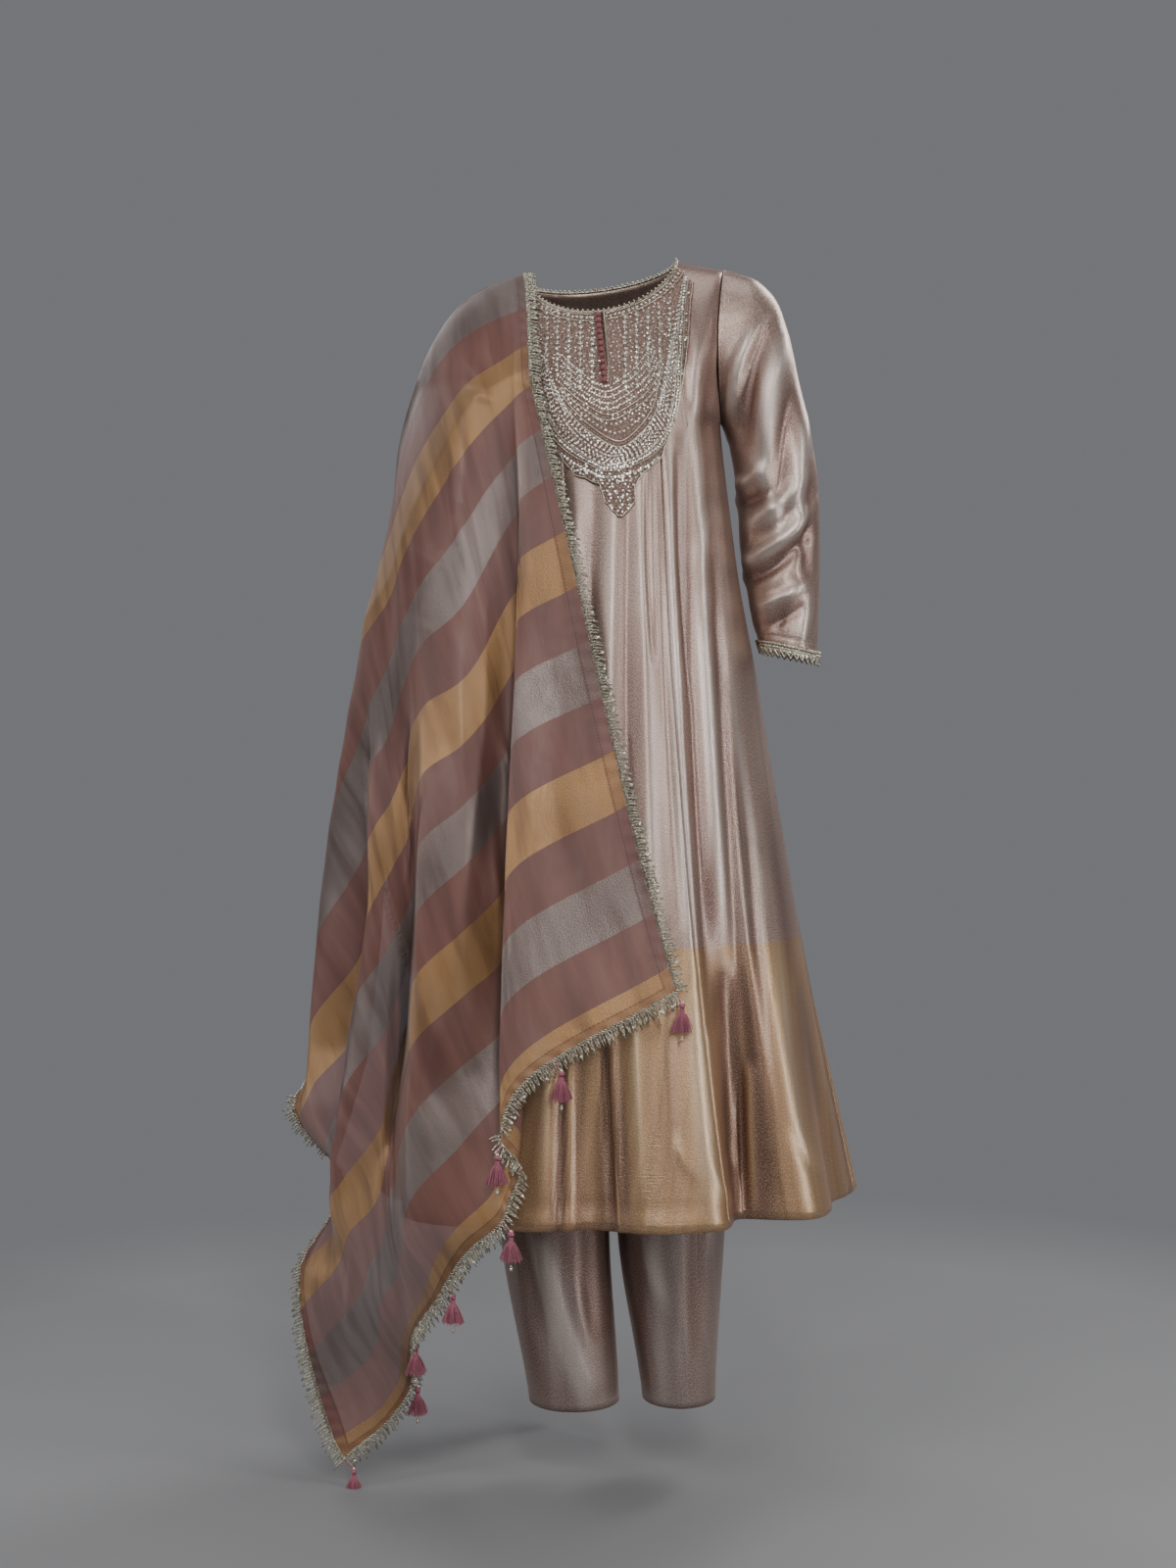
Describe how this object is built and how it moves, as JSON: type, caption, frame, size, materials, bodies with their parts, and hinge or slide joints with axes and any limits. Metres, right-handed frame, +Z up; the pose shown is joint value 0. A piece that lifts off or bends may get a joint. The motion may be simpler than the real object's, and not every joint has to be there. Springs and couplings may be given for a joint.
{
  "type": "salwar kameez suit",
  "caption": "Worn salwar kameez suit: flared tissue-silk kurta with embroidered yoke, straight trousers and a striped, fringed sheer dupatta over the right shoulder.",
  "frame": {"origin": "between the shoulders at the base of the neck, where the wearer carries the set", "axes": "+Z up, garment's front faces -Y, wearer's left side is +X"},
  "size_m": [0.6963, 0.5492, 1.527],
  "materials": {
    "kurta_tissue": "metallic sheen, soft vertical highlights",
    "yoke_embroidery": "sequins and metal thread",
    "metal_trim": "silver metallic",
    "maroon_silk": "satin",
    "trouser_silk": "satin sheen",
    "striped_organza": "sheer, striped mauve, gold and silver",
    "tassel_silk": "matt with a soft sheen"
  },
  "bodies": {
    "root": {"kurta_front_right": "kurta_tissue", "kurta_front_centre": "kurta_tissue", "kurta_front_left": "kurta_tissue", "kurta_back_left": "kurta_tissue", "kurta_back_centre": "kurta_tissue", "kurta_back_right": "kurta_tissue", "sleeve_left": "kurta_tissue", "sleeve_right": "kurta_tissue", "yoke": "yoke_embroidery", "neck_binding": "metal_trim", "cuff_trim_left": "metal_trim", "cuff_trim_right": "metal_trim", "fringe_front_inner": "metal_trim", "fringe_front_outer": "metal_trim", "fringe_front_end": "metal_trim", "fringe_back_inner": "metal_trim", "fringe_back_outer": "metal_trim", "fringe_back_end": "metal_trim", "button_01": "maroon_silk", "button_02": "maroon_silk", "button_03": "maroon_silk", "button_04": "maroon_silk", "button_05": "maroon_silk", "button_06": "maroon_silk", "button_07": "maroon_silk", "button_08": "maroon_silk", "button_09": "maroon_silk", "button_10": "maroon_silk", "button_11": "maroon_silk", "button_12": "maroon_silk", "trouser_front_left": "trouser_silk", "trouser_front_right": "trouser_silk", "trouser_back_left": "trouser_silk", "trouser_back_right": "trouser_silk", "trouser_waistband": "trouser_silk", "dupatta_front": "striped_organza", "dupatta_back": "striped_organza", "tassel_front_1": "tassel_silk", "tassel_front_2": "tassel_silk", "tassel_front_3": "tassel_silk", "tassel_front_4": "tassel_silk", "tassel_front_5": "tassel_silk", "tassel_front_6": "tassel_silk", "tassel_front_7": "tassel_silk", "tassel_front_8": "tassel_silk", "tassel_back_1": "tassel_silk", "tassel_back_2": "tassel_silk", "tassel_back_3": "tassel_silk", "tassel_back_4": "tassel_silk", "tassel_back_5": "tassel_silk", "tassel_back_6": "tassel_silk", "tassel_back_7": "tassel_silk", "tassel_back_8": "tassel_silk"}
  },
  "joints": []
}
